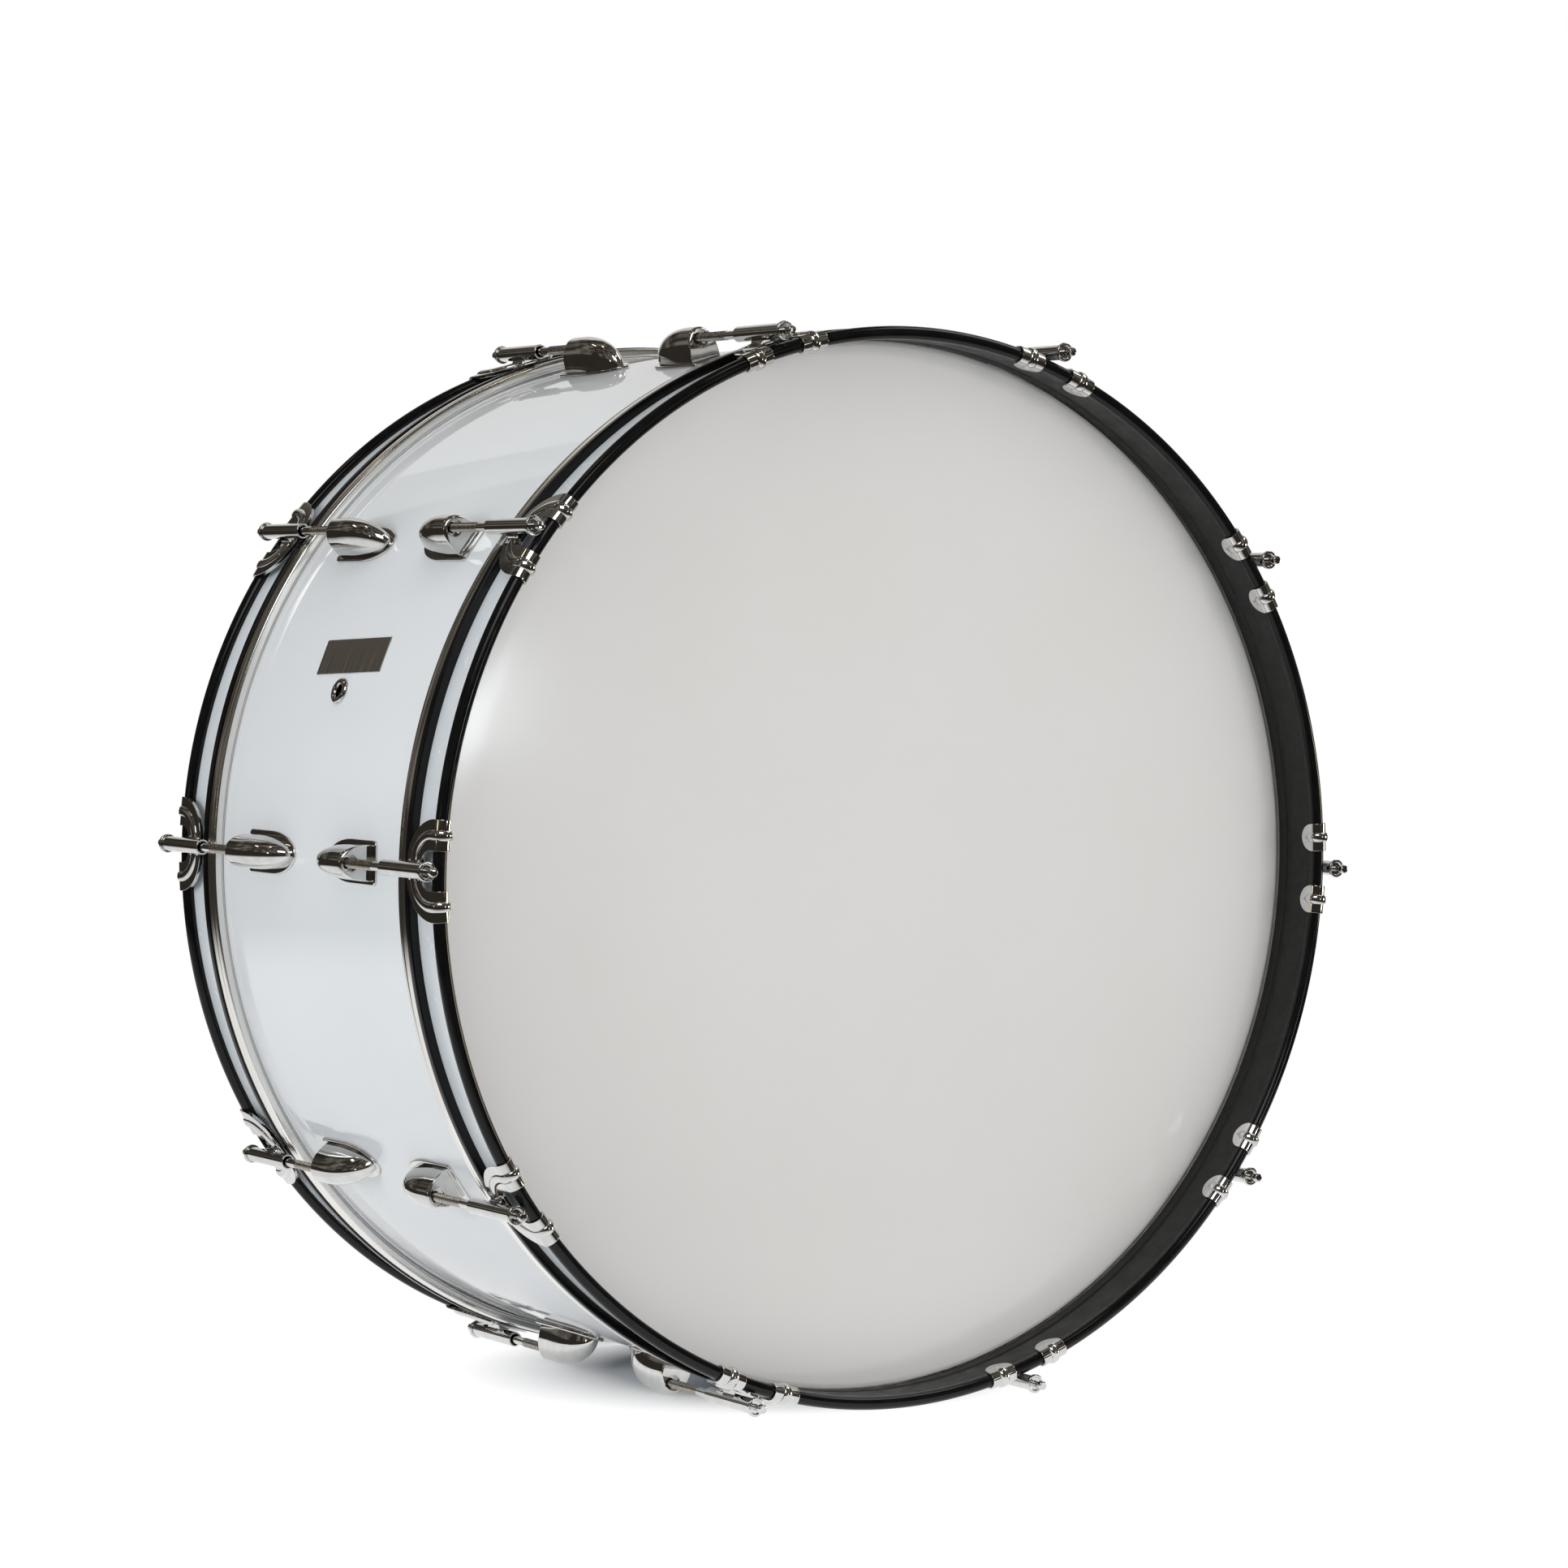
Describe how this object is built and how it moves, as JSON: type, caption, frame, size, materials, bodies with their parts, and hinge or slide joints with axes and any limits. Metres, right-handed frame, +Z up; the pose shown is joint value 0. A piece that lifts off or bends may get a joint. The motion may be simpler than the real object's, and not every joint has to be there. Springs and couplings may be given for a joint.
{
  "type": "marching bass drum",
  "caption": "Marching bass drum standing on its two hoops, with two heads, tension rods, forked claws and bullet-shaped lugs.",
  "frame": {"origin": "on the floor under the middle of the drum", "axes": "+Y along the drum's axis towards the rear head, +Z up, +X to the right seen from the front head"},
  "size_m": [0.7, 0.3582, 0.671],
  "materials": {
    "shell_wrap": "gloss white wrap over plywood",
    "head_film": "smooth off-white film with a soft sheen",
    "flesh_hoop_metal": "bright rolled aluminium",
    "black_hoop": "gloss black outside, satin black inside",
    "chrome_fittings": "polished chrome"
  },
  "bodies": {
    "drum": {"shell_with_rear_lugs": "shell_wrap", "vent_grommet": "chrome_fittings", "front_head": "head_film", "rear_head": "head_film", "front_flesh_hoop": "flesh_hoop_metal", "rear_flesh_hoop": "flesh_hoop_metal", "front_lug_01": "chrome_fittings", "front_lug_02": "chrome_fittings", "front_lug_03": "chrome_fittings", "front_lug_04": "chrome_fittings", "front_lug_05": "chrome_fittings", "front_lug_06": "chrome_fittings", "front_lug_07": "chrome_fittings", "front_lug_08": "chrome_fittings", "front_lug_09": "chrome_fittings", "front_lug_10": "chrome_fittings"},
    "front_rim": {"front_hoop": "black_hoop", "front_claw_01": "chrome_fittings", "front_claw_02": "chrome_fittings", "front_claw_03": "chrome_fittings", "front_claw_04": "chrome_fittings", "front_claw_05": "chrome_fittings", "front_claw_06": "chrome_fittings", "front_claw_07": "chrome_fittings", "front_claw_08": "chrome_fittings", "front_claw_09": "chrome_fittings", "front_claw_10": "chrome_fittings"},
    "front_rod_01_body": {"front_rod_01": "chrome_fittings"},
    "front_rod_02_body": {"front_rod_02": "chrome_fittings"},
    "front_rod_03_body": {"front_rod_03": "chrome_fittings"},
    "front_rod_04_body": {"front_rod_04": "chrome_fittings"},
    "front_rod_05_body": {"front_rod_05": "chrome_fittings"},
    "front_rod_06_body": {"front_rod_06": "chrome_fittings"},
    "front_rod_07_body": {"front_rod_07": "chrome_fittings"},
    "front_rod_08_body": {"front_rod_08": "chrome_fittings"},
    "front_rod_09_body": {"front_rod_09": "chrome_fittings"},
    "front_rod_10_body": {"front_rod_10": "chrome_fittings"},
    "rear_rim": {"rear_hoop": "black_hoop", "rear_claw_01": "chrome_fittings", "rear_claw_02": "chrome_fittings", "rear_claw_03": "chrome_fittings", "rear_claw_04": "chrome_fittings", "rear_claw_05": "chrome_fittings", "rear_claw_06": "chrome_fittings", "rear_claw_07": "chrome_fittings", "rear_claw_08": "chrome_fittings", "rear_claw_09": "chrome_fittings", "rear_claw_10": "chrome_fittings"},
    "rear_rod_01_body": {"rear_rod_01": "chrome_fittings"},
    "rear_rod_02_body": {"rear_rod_02": "chrome_fittings"},
    "rear_rod_03_body": {"rear_rod_03": "chrome_fittings"},
    "rear_rod_04_body": {"rear_rod_04": "chrome_fittings"},
    "rear_rod_05_body": {"rear_rod_05": "chrome_fittings"},
    "rear_rod_06_body": {"rear_rod_06": "chrome_fittings"},
    "rear_rod_07_body": {"rear_rod_07": "chrome_fittings"},
    "rear_rod_08_body": {"rear_rod_08": "chrome_fittings"},
    "rear_rod_09_body": {"rear_rod_09": "chrome_fittings"},
    "rear_rod_10_body": {"rear_rod_10": "chrome_fittings"}
  },
  "joints": [
    {"name": "front_rim_slack", "type": "slide", "parent": "drum", "child": "front_rim", "axis": [0, -1, 0], "range_m": [0, 0.006]},
    {"name": "front_rod_01_turn", "type": "hinge", "parent": "front_rim", "child": "front_rod_01_body", "pos_m": [0.343, -0.15, 0.3355], "axis": [0, -1, 0], "range_deg": [0, 2160]},
    {"name": "front_rod_02_turn", "type": "hinge", "parent": "front_rim", "child": "front_rod_02_body", "pos_m": [0.27749, -0.15, 0.53711], "axis": [0, -1, 0], "range_deg": [0, 2160]},
    {"name": "front_rod_03_turn", "type": "hinge", "parent": "front_rim", "child": "front_rod_03_body", "pos_m": [0.10599, -0.15, 0.66171], "axis": [0, -1, 0], "range_deg": [0, 2160]},
    {"name": "front_rod_04_turn", "type": "hinge", "parent": "front_rim", "child": "front_rod_04_body", "pos_m": [-0.10599, -0.15, 0.66171], "axis": [0, -1, 0], "range_deg": [0, 2160]},
    {"name": "front_rod_05_turn", "type": "hinge", "parent": "front_rim", "child": "front_rod_05_body", "pos_m": [-0.27749, -0.15, 0.53711], "axis": [0, -1, 0], "range_deg": [0, 2160]},
    {"name": "front_rod_06_turn", "type": "hinge", "parent": "front_rim", "child": "front_rod_06_body", "pos_m": [-0.343, -0.15, 0.3355], "axis": [0, -1, 0], "range_deg": [0, 2160]},
    {"name": "front_rod_07_turn", "type": "hinge", "parent": "front_rim", "child": "front_rod_07_body", "pos_m": [-0.27749, -0.15, 0.13389], "axis": [0, -1, 0], "range_deg": [0, 2160]},
    {"name": "front_rod_08_turn", "type": "hinge", "parent": "front_rim", "child": "front_rod_08_body", "pos_m": [-0.10599, -0.15, 0.00929], "axis": [0, -1, 0], "range_deg": [0, 2160]},
    {"name": "front_rod_09_turn", "type": "hinge", "parent": "front_rim", "child": "front_rod_09_body", "pos_m": [0.10599, -0.15, 0.00929], "axis": [0, -1, 0], "range_deg": [0, 2160]},
    {"name": "front_rod_10_turn", "type": "hinge", "parent": "front_rim", "child": "front_rod_10_body", "pos_m": [0.27749, -0.15, 0.13389], "axis": [0, -1, 0], "range_deg": [0, 2160]},
    {"name": "rear_rim_slack", "type": "slide", "parent": "drum", "child": "rear_rim", "axis": [0, 1, 0], "range_m": [0, 0.006]},
    {"name": "rear_rod_01_turn", "type": "hinge", "parent": "rear_rim", "child": "rear_rod_01_body", "pos_m": [0.343, 0.15, 0.3355], "axis": [0, 1, 0], "range_deg": [0, 2160]},
    {"name": "rear_rod_02_turn", "type": "hinge", "parent": "rear_rim", "child": "rear_rod_02_body", "pos_m": [0.27749, 0.15, 0.53711], "axis": [0, 1, 0], "range_deg": [0, 2160]},
    {"name": "rear_rod_03_turn", "type": "hinge", "parent": "rear_rim", "child": "rear_rod_03_body", "pos_m": [0.10599, 0.15, 0.66171], "axis": [0, 1, 0], "range_deg": [0, 2160]},
    {"name": "rear_rod_04_turn", "type": "hinge", "parent": "rear_rim", "child": "rear_rod_04_body", "pos_m": [-0.10599, 0.15, 0.66171], "axis": [0, 1, 0], "range_deg": [0, 2160]},
    {"name": "rear_rod_05_turn", "type": "hinge", "parent": "rear_rim", "child": "rear_rod_05_body", "pos_m": [-0.27749, 0.15, 0.53711], "axis": [0, 1, 0], "range_deg": [0, 2160]},
    {"name": "rear_rod_06_turn", "type": "hinge", "parent": "rear_rim", "child": "rear_rod_06_body", "pos_m": [-0.343, 0.15, 0.3355], "axis": [0, 1, 0], "range_deg": [0, 2160]},
    {"name": "rear_rod_07_turn", "type": "hinge", "parent": "rear_rim", "child": "rear_rod_07_body", "pos_m": [-0.27749, 0.15, 0.13389], "axis": [0, 1, 0], "range_deg": [0, 2160]},
    {"name": "rear_rod_08_turn", "type": "hinge", "parent": "rear_rim", "child": "rear_rod_08_body", "pos_m": [-0.10599, 0.15, 0.00929], "axis": [0, 1, 0], "range_deg": [0, 2160]},
    {"name": "rear_rod_09_turn", "type": "hinge", "parent": "rear_rim", "child": "rear_rod_09_body", "pos_m": [0.10599, 0.15, 0.00929], "axis": [0, 1, 0], "range_deg": [0, 2160]},
    {"name": "rear_rod_10_turn", "type": "hinge", "parent": "rear_rim", "child": "rear_rod_10_body", "pos_m": [0.27749, 0.15, 0.13389], "axis": [0, 1, 0], "range_deg": [0, 2160]}
  ],
  "couplings": [
    {"joint": "front_rod_01_turn", "follows": "front_rim_slack", "rad_per_m": 6282.6},
    {"joint": "front_rod_02_turn", "follows": "front_rim_slack", "rad_per_m": 6282.6},
    {"joint": "front_rod_03_turn", "follows": "front_rim_slack", "rad_per_m": 6282.6},
    {"joint": "front_rod_04_turn", "follows": "front_rim_slack", "rad_per_m": 6282.6},
    {"joint": "front_rod_05_turn", "follows": "front_rim_slack", "rad_per_m": 6282.6},
    {"joint": "front_rod_06_turn", "follows": "front_rim_slack", "rad_per_m": 6282.6},
    {"joint": "front_rod_07_turn", "follows": "front_rim_slack", "rad_per_m": 6282.6},
    {"joint": "front_rod_08_turn", "follows": "front_rim_slack", "rad_per_m": 6282.6},
    {"joint": "front_rod_09_turn", "follows": "front_rim_slack", "rad_per_m": 6282.6},
    {"joint": "front_rod_10_turn", "follows": "front_rim_slack", "rad_per_m": 6282.6},
    {"joint": "rear_rod_01_turn", "follows": "rear_rim_slack", "rad_per_m": 6282.6},
    {"joint": "rear_rod_02_turn", "follows": "rear_rim_slack", "rad_per_m": 6282.6},
    {"joint": "rear_rod_03_turn", "follows": "rear_rim_slack", "rad_per_m": 6282.6},
    {"joint": "rear_rod_04_turn", "follows": "rear_rim_slack", "rad_per_m": 6282.6},
    {"joint": "rear_rod_05_turn", "follows": "rear_rim_slack", "rad_per_m": 6282.6},
    {"joint": "rear_rod_06_turn", "follows": "rear_rim_slack", "rad_per_m": 6282.6},
    {"joint": "rear_rod_07_turn", "follows": "rear_rim_slack", "rad_per_m": 6282.6},
    {"joint": "rear_rod_08_turn", "follows": "rear_rim_slack", "rad_per_m": 6282.6},
    {"joint": "rear_rod_09_turn", "follows": "rear_rim_slack", "rad_per_m": 6282.6},
    {"joint": "rear_rod_10_turn", "follows": "rear_rim_slack", "rad_per_m": 6282.6}
  ]
}
